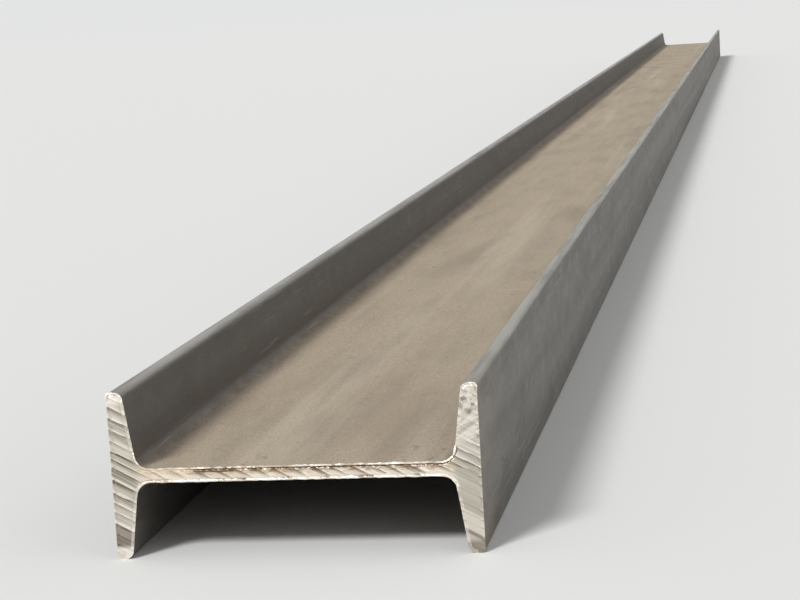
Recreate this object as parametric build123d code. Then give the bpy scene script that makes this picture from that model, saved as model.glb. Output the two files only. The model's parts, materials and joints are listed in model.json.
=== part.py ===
from build123d import *
import os

# A length of hot-rolled steel I-beam with tapered flanges, as it lies in a
# stockyard: on the toes of both flanges, with its web level.
# X runs across the section's depth, Y along the stock and Z up.
# The origin is on the ground, under the middle of the beam.
# All sizes are in mm.

# Section
DEPTH = 180.0  # over the outer faces of the two flanges
FLANGE_WIDTH = 82.0  # from toe to toe of one flange
WEB_THICKNESS = 6.9
FLANGE_THICKNESS = 10.4  # halfway from the web's centre to a toe
FLANGE_SLOPE = 0.14  # how much a flange thickens for each mm towards the web
ROOT_RADIUS = 6.9  # where the web runs into a flange
TOE_RADIUS = 4.1  # on a toe's inner edge
CORNER_RADIUS = 1.8  # on a toe's outer edge, worn round by the rolls

# Stock
LENGTH = 6000.0


def inner_face(across):
    """Where a flange's sloping inner face is, this far from the web's centre plane."""
    gauge_line = FLANGE_WIDTH / 4
    return DEPTH / 2 - FLANGE_THICKNESS + FLANGE_SLOPE * (across - gauge_line)


def quarter_section():
    """One quarter of the section: half the web and half of one flange."""
    web_face = WEB_THICKNESS / 2
    toe = FLANGE_WIDTH / 2
    web_middle = (0, 0)
    flange_middle = (DEPTH / 2, 0)
    outer_corner = (DEPTH / 2, toe)
    inner_corner = (inner_face(toe), toe)
    root = (inner_face(web_face), web_face)
    web_surface = (0, web_face)
    outline = Polyline(
        web_middle, flange_middle, outer_corner, inner_corner, root, web_surface, close=True
    )
    quarter = make_face(outline)
    for corner, radius in (
        (outer_corner, CORNER_RADIUS),
        (inner_corner, TOE_RADIUS),
        (root, ROOT_RADIUS),
    ):
        point = quarter.vertices().sort_by_distance(corner)[0]
        quarter = fillet(point, radius)
    return quarter


def section():
    """The whole section, about its own centre, from four mirrored quarters."""
    quarter = quarter_section()
    half = quarter + mirror(quarter, about=Plane.YZ)
    return half + mirror(half, about=Plane.XZ)


def i_beam():
    """The rolled length, sawn square at both ends and lying on its toes."""
    upright = Plane(origin=(0, LENGTH / 2, FLANGE_WIDTH / 2), x_dir=(1, 0, 0), z_dir=(0, -1, 0))
    beam = extrude(upright * section(), amount=LENGTH)
    beam.label = "i_beam"
    return beam


os.makedirs("parts", exist_ok=True)
export_step(i_beam(), "parts/i_beam.step")
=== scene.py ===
import json
import math

import bmesh
import bpy
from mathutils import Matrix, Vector

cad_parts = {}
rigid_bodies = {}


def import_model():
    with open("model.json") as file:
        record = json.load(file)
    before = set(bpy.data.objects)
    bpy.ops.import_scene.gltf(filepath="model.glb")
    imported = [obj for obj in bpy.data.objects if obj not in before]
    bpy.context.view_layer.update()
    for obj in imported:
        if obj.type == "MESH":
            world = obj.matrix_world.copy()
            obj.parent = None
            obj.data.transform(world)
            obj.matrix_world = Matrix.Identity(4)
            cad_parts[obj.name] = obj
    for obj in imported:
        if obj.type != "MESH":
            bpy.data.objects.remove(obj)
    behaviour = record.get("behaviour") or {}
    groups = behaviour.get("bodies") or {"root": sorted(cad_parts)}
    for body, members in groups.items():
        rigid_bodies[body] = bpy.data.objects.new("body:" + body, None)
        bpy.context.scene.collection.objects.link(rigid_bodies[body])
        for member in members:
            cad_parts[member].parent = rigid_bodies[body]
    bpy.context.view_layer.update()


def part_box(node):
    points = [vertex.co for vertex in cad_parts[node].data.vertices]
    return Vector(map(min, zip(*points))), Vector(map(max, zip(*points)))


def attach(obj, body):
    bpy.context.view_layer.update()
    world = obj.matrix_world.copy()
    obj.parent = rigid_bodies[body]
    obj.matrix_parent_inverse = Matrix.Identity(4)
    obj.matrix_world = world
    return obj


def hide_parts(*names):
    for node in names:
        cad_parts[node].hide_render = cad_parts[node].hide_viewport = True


# A length of hot-rolled steel I-beam with tapered flanges, lying on its toes.
# Metres: X across its depth, Y along it, Z up.

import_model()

# Outer sizes and place, from the frame
low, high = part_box("i_beam")
HALF_DEPTH = (high.x - low.x) / 2
HALF_LENGTH = (high.y - low.y) / 2
HALF_WIDTH = (high.z - low.z) / 2
MIDDLE = (high.z + low.z) / 2

# The rolled section
WEB_THICKNESS = 0.0069
FLANGE_THICKNESS = 0.0104
FLANGE_SLOPE = 0.14
ROOT_RADIUS = 0.0069
TOE_RADIUS = 0.0041
CORNER_RADIUS = 0.0018

# How finely each surface is divided
ROOT_STEPS = 8
TOE_STEPS = 6
CORNER_STEPS = 3
WEB_CUTS = 35
OUTER_CUTS = 9
INNER_CUTS = 6
FIRST_ROWS = (0.0006, 0.0015)
# Each zone's end, measured from the sawn end, and the cuts inside it
ZONES = ((0.012, 4), (0.060, 11), (0.250, 25), (1.000, 40), (HALF_LENGTH, 50))
# Two places nearer than this are the same
NEAR = 1e-5

# How the surface is laid out flat, on a square map of this many pixels
MAP_NAME = "OFBake"
MAP_PIXELS = 1024
MAP_GAP = 8
# Pixels to the metre on the sawn ends
END_PIXELS = 2200

# The mesh of the sawn ends, which follows the saw's marks inside a narrow rim
SAW_ANGLE = math.radians(29)
SAW_PITCH = 0.00045
SAW_LENGTH = 0.0030
RIM_STEP = 0.0013
LIP_WIDTH = 0.00050
LIP_SLOPE = 0.00045
GROOVE_WIDTH = 0.00060

# Heights of the relief
ROLL_WAVES = 0.0006
SAW_STEPS = 0.00055
SAW_LINES = 0.00022
BURR_HEIGHT = 0.0014
GROOVE_DEPTH = 0.0012

# Places on the ends where the marks change, from the middle of the section
RIGHT_FLANGE = 0.0765
CROSSED_LOW = 0.013
CROSSED_HIGH = 0.026
SEAM_START = -0.047
SEAM_BOTTOM = (0.0010, 0.0014)
SEAM_TOP = (0.0034, 0.0028)
WEB_REACH = HALF_DEPTH * 0.88
WEB_RISE = ROOT_RADIUS * 1.6
TOE_START = HALF_WIDTH * 0.9

# Single marks on the flanges, as heights over the saw's line through a flange's middle
FLANGE_MIDDLE = 0.085
PALE_PATCH = (-0.0305, -0.0215)
RIGHT_SCORE = (-0.0325, -0.0308)
# A painted shadow band across the left flange, at the web
LEFT_SHADOW_BAND = (-0.0024, 0.0006)
# Where the dark patch starts, and where it is full
DARK_PATCH = (-0.0240, -0.0315)

# The burr and the depth of the saw's marks on each part of the rim, as shares of their full height
BURR_SHARES = {"web top": 0.75, "web bottom": 0.25, "upper toe": 0.5, "lower toe": 0.0, "flange": 0.06}
MARK_SHARES = {"web top": 0.4, "web bottom": 0.7, "upper toe": 0.8, "lower toe": 0.8, "flange": 1.0}
LEFT_BURR = 0.5
LEFT_GROOVE = 0.15

# The materials, in the order of their slots
SKIN, SAWN, BURR = range(3)


def inner_face(across):
    """Where a flange's inner face is, this far from the web's centre plane."""
    return HALF_DEPTH - FLANGE_THICKNESS + FLANGE_SLOPE * (across - HALF_WIDTH / 2)


# Helpers for edit mode


def choose(obj, kind, test):
    """Selects only the faces, edges or vertices that pass a test of their place."""
    bpy.ops.mesh.select_mode(type=kind)
    bpy.ops.mesh.select_all(action="DESELECT")
    shape = bmesh.from_edit_mesh(obj.data)
    parts = {"VERT": shape.verts, "EDGE": shape.edges, "FACE": shape.faces}[kind]
    for part in parts:
        if test(part):
            part.select_set(True)
    bmesh.update_edit_mesh(obj.data)


def choose_slots(obj, *slots):
    """Selects only the faces with these materials."""
    bpy.ops.mesh.select_mode(type="FACE")
    bpy.ops.mesh.select_all(action="DESELECT")
    for slot in slots:
        obj.active_material_index = slot
        bpy.ops.object.material_slot_select()


def paint_chosen(obj, slot):
    """Gives the selected faces one material."""
    obj.active_material_index = slot
    bpy.ops.object.material_slot_assign()


def group_chosen(obj, name, weight=1.0):
    """Puts the selected vertices in one vertex group, and takes them out of the others."""
    group = obj.vertex_groups.get(name) or obj.vertex_groups.new(name=name)
    bpy.ops.object.vertex_group_remove_from(use_all_groups=True)
    obj.vertex_groups.active_index = group.index
    bpy.context.tool_settings.vertex_group_weight = weight
    bpy.ops.object.vertex_group_assign()


def push_out(distance):
    """Extrudes the selected faces, each along its own normal."""
    bpy.ops.mesh.extrude_region_shrink_fatten(TRANSFORM_OT_shrink_fatten={"value": distance})


def middle_of(edge):
    return (edge.verts[0].co + edge.verts[1].co) / 2


def run_of(edge):
    """How far an edge goes along X, Y and Z."""
    run = edge.verts[1].co - edge.verts[0].co
    return Vector((abs(run.x), abs(run.y), abs(run.z)))


# The beam's shape


def half_web():
    """The web of the near half of the beam, as a plain slab."""
    root = inner_face(WEB_THICKNESS / 2)
    bpy.ops.object.select_all(action="DESELECT")
    bpy.ops.mesh.primitive_cube_add(size=1, location=(0, -HALF_LENGTH / 2, MIDDLE))
    beam = bpy.context.object
    beam.name = beam.data.name = "rolled_beam"
    beam.scale = (2 * root, HALF_LENGTH, WEB_THICKNESS)
    bpy.ops.object.transform_apply(location=True, rotation=True, scale=True)
    return beam


def add_flanges(beam):
    """Draws the flanges out of the web's sides, then tapers them towards their toes."""
    root = inner_face(WEB_THICKNESS / 2)
    toe = inner_face(HALF_WIDTH)
    choose(beam, "FACE", lambda f: abs(f.normal.x) > 0.9)
    push_out(HALF_DEPTH - root)
    choose(beam, "FACE", lambda f: abs(f.normal.z) > 0.9 and abs(f.calc_center_median().x) > root)
    push_out(HALF_WIDTH - WEB_THICKNESS / 2)
    choose(
        beam,
        "VERT",
        lambda v: abs(v.co.z - MIDDLE) > HALF_WIDTH * 0.99 and abs(v.co.x) < HALF_DEPTH * 0.99,
    )
    bpy.ops.transform.resize(value=(toe / root, 1, 1), center_override=(0, 0, MIDDLE))


def round_edges(beam):
    """Rounds the roots and both edges of each toe to their radii."""
    root = inner_face(WEB_THICKNESS / 2)
    toe = inner_face(HALF_WIDTH)
    square = math.radians(90)
    sloped = square - math.atan(FLANGE_SLOPE)

    def along(edge, x, across):
        place = middle_of(edge)
        there = abs(abs(place.x) - x) < NEAR and abs(abs(place.z - MIDDLE) - across) < NEAR
        return run_of(edge).y > HALF_LENGTH / 2 and there

    for x, across, radius, turn, steps in (
        (root, WEB_THICKNESS / 2, ROOT_RADIUS, sloped, ROOT_STEPS),
        (toe, HALF_WIDTH, TOE_RADIUS, sloped, TOE_STEPS),
        (HALF_DEPTH, HALF_WIDTH, CORNER_RADIUS, square, CORNER_STEPS),
    ):
        choose(beam, "EDGE", lambda e: along(e, x, across))
        bpy.ops.mesh.bevel(
            offset=radius * math.tan(turn / 2), segments=steps, offset_type="OFFSET"
        )


def divide_across(beam):
    """Divides the web and the flat faces of the flanges into narrow strips."""
    for cuts, test in (
        (WEB_CUTS, lambda run: run.x > HALF_DEPTH),
        (OUTER_CUTS, lambda run: run.z > HALF_WIDTH * 0.8 and run.x < NEAR),
        (1, lambda run: abs(run.z - WEB_THICKNESS) < NEAR and run.x < NEAR),
        (INNER_CUTS, lambda run: HALF_WIDTH / 2 < run.z < HALF_WIDTH and run.x > 1e-3),
    ):
        choose(beam, "EDGE", lambda e: run_of(e).y < NEAR and test(run_of(e)))
        bpy.ops.mesh.subdivide(number_cuts=cuts)


def merge_ends(beam):
    """Makes each end one flat face, and opens the one in the middle of the beam."""
    for end in (-HALF_LENGTH, 0):
        choose(
            beam,
            "FACE",
            lambda f: abs(f.normal.y) > 0.9 and abs(f.calc_center_median().y - end) < NEAR,
        )
        bpy.ops.mesh.dissolve_faces()
    bpy.ops.mesh.delete(type="ONLY_FACE")


def mark_rows(beam):
    """Cuts the beam across where each zone of its length ends."""
    for distance in FIRST_ROWS + tuple(end for end, _ in ZONES[:-1]):
        bpy.ops.mesh.select_all(action="SELECT")
        bpy.ops.mesh.bisect(plane_co=(0, distance - HALF_LENGTH, 0), plane_no=(0, 1, 0))


def divide_along(beam):
    """Divides each zone of the beam's length, finely near the sawn end."""
    start = FIRST_ROWS[-1]
    for end, cuts in ZONES:
        length = end - start
        centre = (start + end) / 2 - HALF_LENGTH
        choose(
            beam,
            "EDGE",
            lambda e: run_of(e).y > 0.9 * length and abs(middle_of(e).y - centre) < 0.1 * length,
        )
        bpy.ops.mesh.subdivide(number_cuts=cuts)
        start = end


def on_end(part):
    """True for a face, edge or vertex that lies in the near end's plane."""
    points = [part] if isinstance(part, bmesh.types.BMVert) else part.verts
    return all(abs(v.co.y + HALF_LENGTH) < NEAR for v in points)


def saw_end(beam):
    """Gives the sawn end its burr's lip, the groove behind it, and a mesh that follows the saw."""
    choose(beam, "EDGE", lambda e: on_end(e) and e.calc_length() > 2 * RIM_STEP)
    bpy.ops.mesh.subdivide(number_cuts=2)
    choose(beam, "FACE", on_end)
    bpy.ops.mesh.dissolve_faces()
    choose(beam, "FACE", on_end)
    group_chosen(beam, "lip")
    paint_chosen(beam, BURR)
    bpy.ops.mesh.inset(thickness=LIP_WIDTH)
    group_chosen(beam, "lip")
    bpy.ops.mesh.inset(thickness=LIP_SLOPE)
    group_chosen(beam, "groove")
    bpy.ops.mesh.inset(thickness=GROOVE_WIDTH)
    group_chosen(beam, "sawn", 0.6)
    paint_chosen(beam, SAWN)
    across = Vector((math.sin(SAW_ANGLE), 0, math.cos(SAW_ANGLE)))
    along = Vector((math.cos(SAW_ANGLE), 0, -math.sin(SAW_ANGLE)))
    for direction, step, slots in ((across, SAW_PITCH, (SAWN, BURR)), (along, SAW_LENGTH, (SAWN,))):
        reach = abs(direction.x) * HALF_DEPTH + abs(direction.z) * HALF_WIDTH
        cuts = int(reach / step)
        for k in range(-cuts, cuts + 1):
            place = direction * (k * step) + Vector((0, 0, MIDDLE))
            choose_slots(beam, *slots)
            bpy.ops.mesh.bisect(plane_co=place, plane_no=direction, threshold=0.00005)
    choose_slots(beam, SAWN)
    bpy.ops.mesh.select_less()
    group_chosen(beam, "sawn")
    choose(beam, "VERT", lambda v: v.co.y > FIRST_ROWS[-1] - HALF_LENGTH)
    group_chosen(beam, "skin")


def mirrored(beam):
    """Makes the far half from the near one."""
    mirror = beam.modifiers.new("far half", "MIRROR")
    mirror.use_axis = (False, True, False)
    mirror.merge_threshold = 0.0001
    bpy.ops.object.modifier_apply(modifier=mirror.name)


def rolled_beam():
    """One continuous mesh: web, tapered flanges and both sawn ends."""
    beam = half_web()
    for _ in range(3):
        beam.data.materials.append(None)
    bpy.ops.object.mode_set(mode="EDIT")
    add_flanges(beam)
    round_edges(beam)
    merge_ends(beam)
    divide_across(beam)
    mark_rows(beam)
    saw_end(beam)
    divide_along(beam)
    bpy.ops.object.mode_set(mode="OBJECT")
    mirrored(beam)
    lay_out_map(beam)
    return beam


def outline_of(beam):
    """The corners of the section halfway along the beam, in order round it."""
    points = beam.data.vertices
    beside = {}
    for edge in beam.data.edges:
        first, second = edge.vertices
        if abs(points[first].co.y) < NEAR and abs(points[second].co.y) < NEAR:
            beside.setdefault(first, []).append(second)
            beside.setdefault(second, []).append(first)
    order = [min(beside, key=lambda i: (round(points[i].co.z, 5), points[i].co.x))]
    while following := [i for i in beside[order[-1]] if i not in order]:
        order.append(following[0])
    return [(points[i].co.x, points[i].co.z) for i in order]


def lay_out_map(beam):
    """Lays the skin out in two strips of half the length each, and both sawn ends beside them."""
    corners = outline_of(beam)
    sides = []
    around = 0.0
    for start, end in zip(corners, corners[1:] + corners[:1]):
        length = math.dist(start, end)
        sides.append((start, end, around, length))
        around += length
    known = {}

    def place_round(point):
        """How far round the section a point of its outline lies."""
        key = (round(point.x, 6), round(point.z, 6))
        if key not in known:
            nearest = []
            for (x, z), (end_x, end_z), before, length in sides:
                along = ((key[0] - x) * (end_x - x) + (key[1] - z) * (end_z - z)) / length
                along = min(max(along, 0.0), length)
                spot = (x + (end_x - x) * along / length, z + (end_z - z) * along / length)
                nearest.append((math.dist(spot, key), before + along))
            known[key] = min(nearest)[1]
        return known[key]

    end_room = 2 * HALF_WIDTH * END_PIXELS + 2 * MAP_GAP
    across = (MAP_PIXELS - end_room - 2 * MAP_GAP) / (2 * around)
    along = (MAP_PIXELS - 2 * MAP_GAP) / HALF_LENGTH
    own = beam.data.uv_layers
    own.remove(own[0])
    layout = own.new(name=MAP_NAME).uv
    points = beam.data.vertices
    for face in beam.data.polygons:
        far = face.center.y > 0
        if face.material_index == SKIN:
            round_it = [place_round(points[i].co) for i in face.vertices]
            seam = max(round_it)
            round_it = [r + around if seam - r > around / 2 else r for r in round_it]
            left = end_room + far * (around * across + MAP_GAP)
            spots = [
                (left + r * across, MAP_GAP + abs(points[i].co.y) * along)
                for r, i in zip(round_it, face.vertices)
            ]
        else:
            low_edge = MAP_GAP + far * (2 * HALF_DEPTH * END_PIXELS + MAP_GAP)
            spots = [
                (
                    MAP_GAP + (points[i].co.z - MIDDLE + HALF_WIDTH) * END_PIXELS,
                    low_edge + (points[i].co.x + HALF_DEPTH) * END_PIXELS,
                )
                for i in face.vertices
            ]
        for loop, (u, v) in zip(face.loop_indices, spots):
            layout[loop].vector = (u / MAP_PIXELS, v / MAP_PIXELS)


def texture_space(across, size):
    """An empty whose X axis points across the saw's marks or the beam, to lay a texture out in."""
    bpy.ops.object.empty_add(location=(0, 0, MIDDLE))
    space = bpy.context.object
    space.rotation_euler = (0, across, 0)
    space.scale = size
    bpy.context.view_layer.update()
    return space


def carve(beam, name, group, kind, direction, height, middle, space, **settings):
    """Moves one group of vertices by a texture, for good."""
    texture = bpy.data.textures.new(name, kind)
    for setting, value in settings.items():
        setattr(texture, setting, value)
    change = beam.modifiers.new(name, "DISPLACE")
    change.texture = texture
    change.vertex_group = group
    change.direction = direction
    change.strength = height
    change.mid_level = middle
    change.texture_coords = "OBJECT"
    change.texture_coords_object = space
    bpy.ops.object.select_all(action="DESELECT")
    bpy.context.view_layer.objects.active = beam
    bpy.ops.object.modifier_apply(modifier=change.name)
    bpy.data.textures.remove(texture)
    bpy.data.objects.remove(space)


def rim_part(across, up):
    """The part of the section's rim that a place is on."""
    if abs(across) < WEB_REACH and abs(up) < WEB_RISE:
        return "web top" if up > 0 else "web bottom"
    if up > TOE_START:
        return "upper toe"
    return "lower toe" if up < -TOE_START else "flange"


def right_marks(up):
    """How deep the saw's marks are on the right flange: shallow, and almost smooth below the web."""
    if up < 0:
        return 0.30
    return 0.45 if up > CROSSED_LOW else 0.8


def weigh_rims(beam):
    """Sets how far the burr stands out round the section, and how deep the saw's marks are."""
    rims = [beam.vertex_groups[name] for name in ("lip", "groove")]
    sawn = beam.vertex_groups["sawn"]
    for vertex in beam.data.vertices:
        held = [group.group for group in vertex.groups]
        rim = [group for group in rims if group.index in held]
        across, up = vertex.co.x, vertex.co.z - MIDDLE
        if rim:
            part = rim_part(across, up)
            burr = BURR_SHARES[part]
            if part == "web top" and across < 0:
                plain = rim[0].name == "groove" and across <= SEAM_START
                burr = LEFT_GROOVE if plain else LEFT_BURR
            rim[0].add([vertex.index], burr, "REPLACE")
            sawn.add([vertex.index], MARK_SHARES[part], "REPLACE")
        elif sawn.index in held and across > RIGHT_FLANGE:
            sawn.add([vertex.index], right_marks(up), "REPLACE")


def rest_flat(beam):
    """Keeps the toes that the beam lies on level."""
    skin = beam.vertex_groups["skin"]
    under = [v.index for v in beam.data.vertices if v.co.z < MIDDLE - HALF_WIDTH * 0.97]
    skin.remove(under)


def carve_surfaces(beam):
    """The rolled skin's waviness, and the saw's steps, lines and burr on both ends."""
    weigh_rims(beam)
    rest_flat(beam)
    carve(
        beam, "roll waves", "skin", "CLOUDS", "NORMAL", ROLL_WAVES, 0.5,
        texture_space(0, (0.045, 0.40, 0.045)), noise_scale=1.0, noise_depth=1,
    )
    carve(
        beam, "saw steps", "sawn", "WOOD", "Y", SAW_STEPS, 0.5,
        texture_space(SAW_ANGLE - math.pi / 2, (0.0072, 1.0, 0.35)),
        wood_type="BANDNOISE", noise_basis_2="SAW", noise_scale=1.6, turbulence=6.0,
    )
    carve(
        beam, "saw lines", "sawn", "CLOUDS", "Y", SAW_LINES, 0.5,
        texture_space(SAW_ANGLE - math.pi / 2, (0.0011, 1.0, 0.020)),
        noise_scale=1.0, noise_depth=2,
    )
    carve(
        beam, "burr", "lip", "CLOUDS", "NORMAL", BURR_HEIGHT, 0.1,
        texture_space(0, (0.0035, 0.0035, 0.0035)), noise_scale=1.0, noise_depth=2, contrast=1.8,
    )
    carve(
        beam, "groove", "groove", "CLOUDS", "NORMAL", -GROOVE_DEPTH, 0.0,
        texture_space(0, (0.004, 0.004, 0.004)), noise_scale=1.0, noise_depth=1,
    )
    bpy.ops.object.shade_smooth_by_angle(angle=math.radians(40))


# Finishes


def tint(red, green, blue):
    """A colour as an eye reads it, 0 to 255, turned into the shader's own scale."""
    shares = (c / 255 for c in (red, green, blue))
    return (*(c / 12.92 if c <= 0.04045 else ((c + 0.055) / 1.055) ** 2.4 for c in shares), 1)


DUST = tint(182, 167, 146)
DUST_DARK = tint(138, 123, 106)
DUST_PALE = tint(198, 186, 168)
SCALE_DARK = tint(63, 63, 62)
SCALE_GREY = tint(93, 92, 90)
SCALE_PALE = tint(133, 130, 126)
RUST = tint(126, 92, 66)
RUST_DARK = tint(78, 58, 45)
# Pale rubbed metal, also a painted highlight along the toes
RUBBED_AND_HIGHLIGHT = tint(164, 160, 152)
SAW_DARK = tint(104, 92, 78)
SAW_GREY = tint(192, 185, 172)
SAW_BRIGHT = tint(242, 236, 225)
SAW_CREAM = tint(236, 222, 200)
SAW_TAN = tint(206, 184, 156)
SAW_BROWN = tint(116, 90, 66)
SEAM_BROWN = tint(88, 71, 47)


class Finish:
    """A material and its nodes, laid out on the beam's own coordinates."""

    def __init__(self, name):
        self.material = bpy.data.materials.new(name)
        self.material.use_nodes = True
        self.tree = self.material.node_tree
        self.shader = self.tree.nodes["Principled BSDF"]
        self.place = self.add("ShaderNodeTexCoord", output="Object")
        split = self.tree.nodes.new("ShaderNodeSeparateXYZ")
        self.tree.links.new(self.place, split.inputs[0])
        self.across = split.outputs["X"]
        self.side = self.maths("ABSOLUTE", self.across)
        self.reach = self.maths("ABSOLUTE", split.outputs["Y"])
        self.up = self.maths("SUBTRACT", split.outputs["Z"], MIDDLE)

    def add(self, kind, inputs=None, output=0, **settings):
        """Adds a node with its inputs linked or set, and gives one of its outputs."""
        node = self.tree.nodes.new(kind)
        for setting, value in settings.items():
            setattr(node, setting, value)
        for key, value in (inputs or {}).items():
            if isinstance(value, bpy.types.NodeSocket):
                self.tree.links.new(value, node.inputs[key])
            else:
                node.inputs[key].default_value = value
        return node.outputs[output]

    def maths(self, operation, first, second=0.0):
        return self.add("ShaderNodeMath", {0: first, 1: second}, operation=operation)

    def both(self, first, second):
        return self.maths("MULTIPLY", first, second)

    def band(self, value, start, end):
        """0 before start and 1 past end, with a soft step between."""
        inputs = {"Value": value, "From Min": start, "From Max": end}
        return self.add("ShaderNodeMapRange", inputs, interpolation_type="SMOOTHSTEP")

    def within(self, value, start, end, soft):
        """1 between start and end, and 0 outside them, with a soft step at both."""
        return self.both(
            self.band(value, start - soft / 2, start + soft / 2),
            self.band(value, end + soft / 2, end - soft / 2),
        )

    def noise(self, scale, detail=4.0, rough=0.55, offset=0.0, place=None):
        """Noise whose scale is given along X, Y and Z, in repeats to the metre."""
        inputs = {"Vector": place or self.place, "Scale": scale, "Location": (offset,) * 3}
        spot = self.add("ShaderNodeMapping", inputs)
        return self.add(
            "ShaderNodeTexNoise",
            {"Vector": spot, "Scale": 1.0, "Detail": detail, "Roughness": rough},
        )

    def mix(self, factor, first, second, blend="MIX"):
        inputs = {0: factor, 6: first, 7: second}
        return self.add("ShaderNodeMix", inputs, output=2, data_type="RGBA", blend_type=blend)

    def blend(self, factor, first, second):
        """A number between two others."""
        return self.add("ShaderNodeMix", {0: factor, 2: first, 3: second}, data_type="FLOAT")

    def saw_place(self, angle):
        """The place measured across the saw's marks, along the beam, and along the marks."""
        turned = []
        for x, z in ((math.sin(angle), math.cos(angle)), (math.cos(angle), -math.sin(angle))):
            inputs = {0: self.place, 1: (x, 0, z)}
            along = self.add("ShaderNodeVectorMath", inputs, output="Value", operation="DOT_PRODUCT")
            turned.append(along)
        return self.add("ShaderNodeCombineXYZ", {"X": turned[0], "Y": self.reach, "Z": turned[1]})

    def over_mark(self, across):
        """How far a place is over the saw's line through the middle height of the section."""
        lean = self.both(self.maths("SUBTRACT", self.across, across), math.tan(SAW_ANGLE))
        return self.maths("ADD", self.up, lean)

    def wear(self, colour, roughness, metal, height, depth):
        """Links the finished colour, roughness, metal and bump to the shader."""
        bump = self.add("ShaderNodeBump", {"Height": height, "Strength": 0.6, "Distance": depth})
        finish = {"Base Color": colour, "Roughness": roughness, "Metallic": metal, "Normal": bump}
        for socket, value in finish.items():
            self.tree.links.new(value, self.shader.inputs[socket])
        return self.material


def mill_scale():
    """Rolled skin: grey scale in long streaks with painted shade inside the troughs, dust on the web,
    rust specks, and rubbed toes whose pale edge is partly a painted highlight.
    """
    f = Finish("mill scale")
    # Bare scale, with painted shade that darkens it inside the troughs, and outside near the ends a
    # little dust that is partly painted light
    grain = f.noise((850, 650, 850), detail=4, rough=0.7)
    fine = f.noise((300, 2.5, 300), detail=3, offset=1.0)
    broad = f.noise((70, 0.6, 70), detail=1.5, offset=3.0)
    mottle = f.noise((85, 38, 85), detail=6, rough=0.62, offset=7.0)
    flakes = f.noise((24, 7, 24), detail=5, rough=0.5, offset=9.0)
    scale = f.mix(f.band(broad, 0.30, 0.70), SCALE_DARK, SCALE_GREY)
    scale = f.mix(f.both(f.band(fine, 0.36, 0.74), 0.28), scale, SCALE_PALE)
    scale = f.mix(f.both(f.band(mottle, 0.44, 0.74), 0.42), scale, SCALE_PALE)
    scale = f.mix(f.both(f.band(flakes, 0.575, 0.590), 0.50), scale, SCALE_DARK)
    outer = f.band(f.side, 0.0885, 0.0895)
    near_end = f.band(f.reach, HALF_LENGTH - 0.09, HALF_LENGTH - 0.01)
    # A little dust on the outer faces near the ends, partly painted light that brightens the ends
    dust_and_light_near_end = f.both(f.both(outer, near_end), f.band(mottle, 0.25, 0.55))
    # Painted shade: the faces inside the troughs made darker than the outer ones
    scale = f.mix(f.blend(outer, 0.55, 0.0), scale, SCALE_DARK)
    scale = f.mix(f.both(dust_and_light_near_end, 0.30), scale, DUST_DARK)

    # Dust on the web
    web = f.band(f.side, 0.0785, 0.0715)
    above = f.both(web, f.band(f.up, -0.001, 0.001))
    uneven = f.band(f.noise((45, 6, 45), detail=5, offset=11.0), 0.22, 0.60)
    cover = f.both(f.blend(above, f.blend(web, 0.10, 0.28), 0.96), f.blend(uneven, 0.78, 1.0))
    dust = f.mix(f.blend(f.band(grain, 0.28, 0.72), 0.30, 1.0), DUST_DARK, DUST)
    stains = f.band(f.noise((19, 4, 19), detail=6, rough=0.62, offset=31.0), 0.48, 0.68)
    drifts = f.band(f.noise((42, 1.2, 42), detail=4, offset=37.0), 0.50, 0.72)
    specks = f.band(f.noise((380, 330, 380), detail=2, offset=41.0), 0.66, 0.74)
    dust = f.mix(f.both(stains, 0.38), dust, DUST_DARK)
    dust = f.mix(f.both(drifts, 0.35), dust, DUST_PALE)
    dust = f.mix(f.both(specks, 0.55), dust, RUST_DARK)
    colour = f.mix(cover, scale, dust)

    # Rust in the roots and in spots, scratches and pits
    root = f.both(f.band(f.side, 0.0705, 0.0745), f.band(f.side, 0.0800, 0.0775))
    colour = f.mix(f.both(root, f.both(f.band(mottle, 0.35, 0.62), 0.45)), colour, RUST_DARK)
    rust_spots = f.band(f.noise((150, 70, 150), detail=6, rough=0.65, offset=17.0), 0.60, 0.72)
    rust_near = f.band(f.reach, HALF_LENGTH - 0.10, HALF_LENGTH)
    colour = f.mix(f.both(rust_spots, f.blend(rust_near, 0.30, 0.65)), colour, RUST)
    bare = f.maths("SUBTRACT", 1.0, cover)
    worked = f.band(f.noise((11, 2.2, 11), detail=2, offset=43.0), 0.40, 0.62)
    scratches = f.band(f.noise((760, 11, 760), detail=2, rough=0.4, offset=47.0), 0.66, 0.70)
    colour = f.mix(f.both(f.both(scratches, f.both(worked, bare)), 0.45), colour, RUBBED_AND_HIGHLIGHT)
    pits = f.band(f.noise((330, 240, 330), detail=3, rough=0.5, offset=53.0), 0.655, 0.685)
    colour = f.mix(f.both(f.both(pits, bare), 0.60), colour, RUST_DARK)

    # Rubbed toes, their pale edge partly a painted highlight
    toe = f.band(f.maths("ABSOLUTE", f.up), HALF_WIDTH - 0.0026, HALF_WIDTH - 0.0004)
    rubs = f.band(f.noise((190, 9, 190), detail=5, offset=23.0), 0.30, 0.66)
    worn_and_highlit = f.both(toe, f.blend(rubs, 0.35, 0.90))
    colour = f.mix(worn_and_highlit, colour, RUBBED_AND_HIGHLIGHT)

    # The surface as a whole
    colour = f.mix(1.0, colour, f.blend(grain, 0.90, 1.10), blend="MULTIPLY")
    roughness = f.blend(cover, f.blend(fine, 0.42, 0.66), 0.90)
    roughness = f.blend(worn_and_highlit, roughness, 0.42)
    metal = f.blend(worn_and_highlit, f.both(bare, 0.25), 0.70)
    height = f.maths("ADD", f.both(grain, 0.5), f.both(mottle, 0.9))
    return f.wear(colour, roughness, metal, height, 0.0005)


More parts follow.
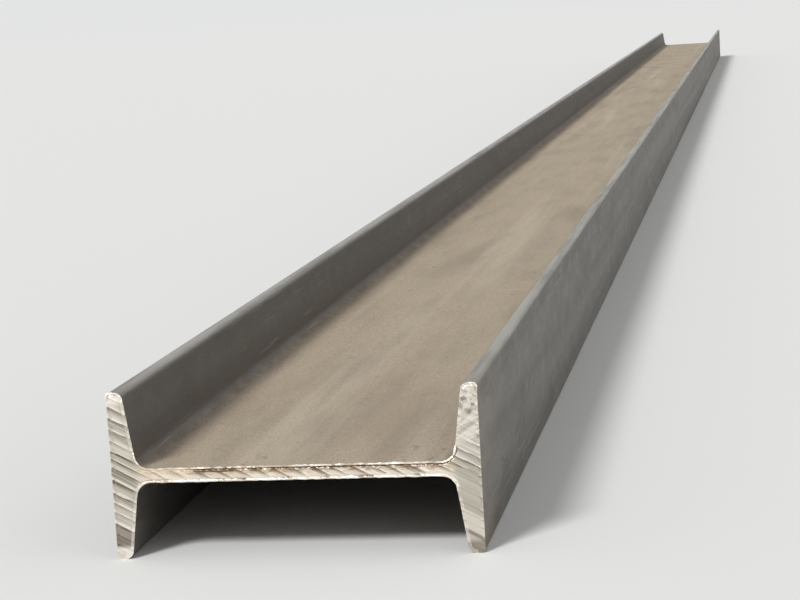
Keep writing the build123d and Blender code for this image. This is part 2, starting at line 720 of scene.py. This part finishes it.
def sawn_colours(f):
    """Bright sawn metal with dark lines, painted shade in the saw's troughs and painted highlights on
    its crests, tanned and flecked on the web.
    """
    # Where the marks are, and where they are calm
    saw = f.saw_place(SAW_ANGLE)
    lines = f.noise((900, 0, 22), detail=4, rough=0.7, place=saw)
    broad = f.noise((230, 0, 9), detail=3, offset=5.0, place=saw)
    smudge = f.noise((60, 1, 60), detail=4, offset=9.0)
    trough = f.band(f.reach, HALF_LENGTH - 0.00002, HALF_LENGTH - 0.00026)
    crest = f.band(f.reach, HALF_LENGTH + 0.00004, HALF_LENGTH + 0.00026)
    flange = f.band(f.across, RIGHT_FLANGE - 0.004, RIGHT_FLANGE + 0.003)
    smooth = f.both(flange, f.band(f.up, 0.002, -0.008))
    over_web = f.both(f.band(f.up, CROSSED_LOW - 0.003, CROSSED_LOW + 0.003), flange)
    crossed = f.both(over_web, f.band(f.up, CROSSED_HIGH + 0.002, CROSSED_HIGH - 0.002))
    spotty = f.both(over_web, f.band(f.up, CROSSED_HIGH - 0.002, CROSSED_HIGH + 0.002))
    calm = f.maths("MAXIMUM", smooth, over_web)

    # The saw's lines and steps, with a painted highlight on the crests and painted shade in the
    # troughs
    trough_shade = f.both(f.blend(f.band(broad, 0.62, 0.40), 0.45, 0.95), f.blend(calm, 1.0, 0.40))
    colour = f.mix(f.both(f.band(lines, 0.62, 0.34), f.blend(calm, 0.45, 0.18)), SAW_GREY, SAW_DARK)
    colour = f.mix(f.both(f.band(broad, 0.40, 0.70), f.blend(smooth, 0.55, 0.20)), colour, SAW_BRIGHT)
    colour = f.mix(f.both(crest, f.blend(calm, 0.78, 0.35)), colour, SAW_BRIGHT)
    colour = f.mix(f.both(trough, trough_shade), colour, SAW_DARK)

    # The right flange: crossing lines, spots over them, and a pale patch and a score under the web
    other = f.noise((420, 0, 26), detail=3, rough=0.6, offset=3.0, place=f.saw_place(-SAW_ANGLE))
    colour = f.mix(f.both(crossed, f.both(f.band(other, 0.46, 0.36), 0.50)), colour, SAW_DARK)
    colour = f.mix(f.both(crossed, f.both(f.band(other, 0.52, 0.60), 0.65)), colour, SAW_BRIGHT)
    spots = f.noise((260, 1, 260), detail=2, offset=21.0)
    colour = f.mix(f.both(spotty, f.both(f.band(spots, 0.47, 0.39), 0.62)), colour, SAW_DARK)
    colour = f.mix(f.both(spotty, f.both(f.band(spots, 0.52, 0.60), 0.60)), colour, SAW_BRIGHT)
    right_mark = f.over_mark(FLANGE_MIDDLE)
    pale = f.both(smooth, f.within(right_mark, *PALE_PATCH, 0.0012))
    colour = f.mix(f.both(pale, 0.45), colour, SAW_BRIGHT)
    dark_band = f.both(smooth, f.within(right_mark, *RIGHT_SCORE, 0.0006))
    colour = f.mix(f.both(dark_band, 0.55), colour, SAW_DARK)

    # The left flange: a painted shadow band at the web and a dark patch above the lower toe
    left = f.band(f.across, -0.0740, -0.0775)
    left_mark = f.over_mark(-FLANGE_MIDDLE)
    dark_band = f.both(left, f.within(left_mark, *LEFT_SHADOW_BAND, 0.0010))
    colour = f.mix(f.both(dark_band, f.blend(f.band(lines, 0.62, 0.40), 0.25, 0.70)), colour, SAW_DARK)
    smeared = f.both(left, f.band(left_mark, *DARK_PATCH))
    smeared = f.both(smeared, f.blend(f.band(smudge, 0.32, 0.55), 0.40, 0.75))
    colour = f.mix(smeared, colour, SAW_DARK)

    # The web: tan and flecked above, bright below, and plain at the left root
    web = f.band(f.side, 0.0800, 0.0715)
    right = f.band(f.across, -0.004, 0.016)
    upper = f.both(web, f.band(f.up, -0.0010, 0.0012))
    flecks = f.band(f.noise((230, 1, 1100), detail=4, rough=0.6, offset=13.0), 0.46, 0.58)
    tan = f.both(upper, f.band(smudge, 0.34, 0.56))
    colour = f.mix(f.both(web, 0.60), colour, SAW_CREAM)
    colour = f.mix(f.both(tan, f.blend(right, 0.75, 0.50)), colour, SAW_TAN)
    patches = f.band(broad, 0.38, 0.56)
    under = f.both(f.both(web, f.band(f.up, 0.0008, -0.0006)), f.blend(patches, 0.30, 1.0))
    colour = f.mix(f.both(under, f.blend(right, 0.45, 0.40)), colour, SAW_BRIGHT)
    # Painted shade in brown in the web's troughs, and a painted highlight on its crests to the right
    colour = f.mix(f.both(f.both(web, trough), f.blend(upper, 0.62, 0.75)), colour, SAW_BROWN)
    colour = f.mix(f.both(f.both(web, right), f.both(crest, 0.85)), colour, SAW_BRIGHT)
    colour = f.mix(f.both(f.both(upper, flecks), 0.70), colour, SAW_BROWN)
    plain = f.both(web, f.band(f.across, SEAM_START, SEAM_START - 0.008))
    colour = f.mix(f.both(plain, 0.40), colour, SAW_CREAM)

    # The seam under the web's upper edge
    ragged = f.maths("ADD", f.up, f.both(f.maths("SUBTRACT", smudge, 0.5), 0.0018))
    seam = f.both(f.band(ragged, *SEAM_BOTTOM), f.band(ragged, *SEAM_TOP))
    breaks = f.band(f.noise((62, 1, 1), detail=3, rough=0.6, offset=27.0), 0.42, 0.50)
    seam = f.both(f.both(seam, web), f.both(breaks, f.band(f.across, SEAM_START - 0.004, SEAM_START)))
    fading = f.blend(f.band(f.across, -0.026, 0.010), 0.92, 0.28)
    colour = f.mix(f.both(seam, fading), colour, SEAM_BROWN)

    # The toes
    toe = f.band(f.maths("ABSOLUTE", f.up), HALF_WIDTH - 0.0075, HALF_WIDTH - 0.0045)
    bright_toe = f.both(f.band(smudge, 0.34, 0.50), f.blend(smooth, f.blend(flange, 0.85, 0.50), 0.10))
    colour = f.mix(f.both(toe, bright_toe), colour, SAW_BRIGHT)
    colour = f.mix(f.both(f.both(toe, smooth), 0.60), colour, SAW_DARK)
    return colour, lines, tan, patches


def sawn_steel():
    """The sawn ends inside their rims."""
    f = Finish("sawn steel")
    colour, lines, tan, _ = sawn_colours(f)
    return f.wear(colour, f.blend(lines, 0.52, 0.32), f.blend(tan, 0.80, 0.40), lines, 0.0002)


def burr_edge():
    """The rim of the sawn ends: a bright burr, and a rusty line in the groove behind it."""
    f = Finish("burr edge")
    colour, lines, tan, patches = sawn_colours(f)

    # The burr stands proud along the web's top, and is bright but broken along its bottom
    roots = f.band(f.maths("ABSOLUTE", f.up), 0.0130, 0.0095)
    web = f.both(roots, f.band(f.side, 0.0805, 0.0785))
    grit = f.noise((420, 420, 420), detail=4)
    proud = f.band(f.reach, HALF_LENGTH - 0.00005, HALF_LENGTH + 0.00025)
    deep = f.band(f.reach, HALF_LENGTH - 0.00025, HALF_LENGTH - 0.00055)
    low_edge = f.both(web, f.band(f.up, 0.0005, -0.0005))
    below = f.both(f.band(grit, 0.25, 0.50), f.both(low_edge, f.blend(patches, 0.08, 1.0)))
    breaks = f.both(low_edge, f.band(patches, 0.70, 0.10))
    stretches = f.band(f.noise((75, 1, 75), detail=3, offset=19.0), 0.38, 0.56)
    right = f.band(f.across, -0.030, 0.010)
    proud = f.both(proud, f.both(f.blend(stretches, 0.20, 1.0), f.blend(right, 0.55, 1.0)))
    bright = f.both(web, f.maths("MAXIMUM", proud, below))
    colour = f.mix(f.both(breaks, 0.45), colour, SAW_DARK)
    colour = f.mix(f.both(bright, 0.90), colour, SAW_BRIGHT)
    inner = f.both(f.band(f.side, 0.0868, 0.0860), f.maths("SUBTRACT", 1.0, roots))
    colour = f.mix(f.both(inner, f.blend(stretches, 0.0, 0.40)), colour, SAW_BRIGHT)

    # Rust in the groove, less of it to the right
    rusty = f.both(web, f.both(deep, f.band(f.up, -0.0005, 0.0005)))
    rusty = f.both(rusty, f.blend(right, 1.0, f.blend(stretches, 0.75, 0.25)))
    colour = f.mix(f.both(rusty, 0.9), colour, f.mix(f.band(grit, 0.35, 0.65), RUST_DARK, SAW_BROWN))
    roughness = f.blend(rusty, f.blend(lines, 0.48, 0.30), 0.80)
    metal = f.blend(rusty, f.blend(bright, f.blend(tan, 0.80, 0.40), 0.75), 0.10)
    return f.wear(colour, roughness, metal, lines, 0.0002)


# Studio


BACKDROP = (0.769, 0.777, 0.773, 1)
FLOOR_COLOUR = (0.74, 0.74, 0.73, 1)
FLOOR_SIZE = 80
# How far from the middle the floor starts to fade into the backdrop, and where it has
FADE_START = 5
FADE_END = 22
# How strongly the surroundings light the beam, against 1 for what the camera sees
FILL_STRENGTH = 0.55


def pale_floor():
    """A wide pale floor that turns into the backdrop's colour far from the beam."""
    bpy.ops.mesh.primitive_plane_add(size=FLOOR_SIZE, location=(0, 0, 0))
    floor = bpy.context.object
    floor.name = "floor"
    finish = bpy.data.materials.new("pale floor")
    finish.use_nodes = True
    tree = finish.node_tree
    shader = tree.nodes["Principled BSDF"]
    shader.inputs["Base Color"].default_value = FLOOR_COLOUR
    shader.inputs["Roughness"].default_value = 0.9
    place = tree.nodes.new("ShaderNodeTexCoord")
    distance = tree.nodes.new("ShaderNodeVectorMath")
    distance.operation = "LENGTH"
    tree.links.new(place.outputs["Object"], distance.inputs[0])
    fade = tree.nodes.new("ShaderNodeMapRange")
    fade.interpolation_type = "SMOOTHSTEP"
    fade.inputs["From Min"].default_value = FADE_START
    fade.inputs["From Max"].default_value = FADE_END
    tree.links.new(distance.outputs["Value"], fade.inputs["Value"])
    far = tree.nodes.new("ShaderNodeEmission")
    far.inputs["Color"].default_value = BACKDROP
    mix = tree.nodes.new("ShaderNodeMixShader")
    tree.links.new(fade.outputs[0], mix.inputs[0])
    tree.links.new(shader.outputs[0], mix.inputs[1])
    tree.links.new(far.outputs[0], mix.inputs[2])
    tree.links.new(mix.outputs[0], tree.nodes["Material Output"].inputs["Surface"])
    floor.data.materials.append(finish)


def pale_surroundings():
    """A pale world: an even fill for the beam, and a lighter backdrop for the eye and for metal."""
    world = bpy.data.worlds.new("studio")
    world.use_nodes = True
    tree = world.node_tree
    background = tree.nodes["Background"]
    path = tree.nodes.new("ShaderNodeLightPath")
    seen = tree.nodes.new("ShaderNodeMath")
    seen.operation = "MAXIMUM"
    tree.links.new(path.outputs["Is Camera Ray"], seen.inputs[0])
    tree.links.new(path.outputs["Is Glossy Ray"], seen.inputs[1])
    strength = tree.nodes.new("ShaderNodeMapRange")
    strength.inputs["To Min"].default_value = FILL_STRENGTH
    strength.inputs["To Max"].default_value = 1.0
    tree.links.new(seen.outputs[0], strength.inputs["Value"])
    tree.links.new(strength.outputs[0], background.inputs["Strength"])
    background.inputs["Color"].default_value = BACKDROP
    bpy.context.scene.world = world


def lamp(name, kind, towards, power, **settings):
    """A lamp that shines along one direction."""
    data = bpy.data.lights.new(name, kind)
    data.energy = power
    for setting, value in settings.items():
        setattr(data, setting, value)
    obj = bpy.data.objects.new(name, data)
    bpy.context.scene.collection.objects.link(obj)
    obj.rotation_euler = Vector(towards).to_track_quat("-Z", "Y").to_euler()
    return obj


def lamps():
    lamp("key", "SUN", (0.32, 0.64, -0.70), 2.5, angle=math.radians(14))
    lamp("fill", "SUN", (-0.75, 0.45, -0.48), 0.35, angle=math.radians(60))


# Where the photograph was taken from, seen from the middle of the near end
CAMERA_SIDE = 0.229
CAMERA_BACK = 1.025
CAMERA_UP = 0.225
CAMERA_TURN = math.radians(9.1)
CAMERA_DIP = math.radians(7.9)
CAMERA_ROLL = math.radians(3.4)
LENS = 101.0


def camera():
    bpy.ops.object.camera_add(
        location=(CAMERA_SIDE, -HALF_LENGTH - CAMERA_BACK, MIDDLE + CAMERA_UP),
        rotation=(math.pi / 2 - CAMERA_DIP, CAMERA_ROLL, CAMERA_TURN),
    )
    eye = bpy.context.object
    eye.data.lens = LENS
    eye.data.clip_start = 0.01
    eye.data.clip_end = 200
    bpy.context.scene.camera = eye


beam = rolled_beam()
carve_surfaces(beam)
beam.data.materials[SKIN] = mill_scale()
beam.data.materials[SAWN] = sawn_steel()
beam.data.materials[BURR] = burr_edge()
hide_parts("i_beam")
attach(beam, "root")

pale_floor()
pale_surroundings()
lamps()
camera()
bpy.context.scene.view_settings.view_transform = "Standard"
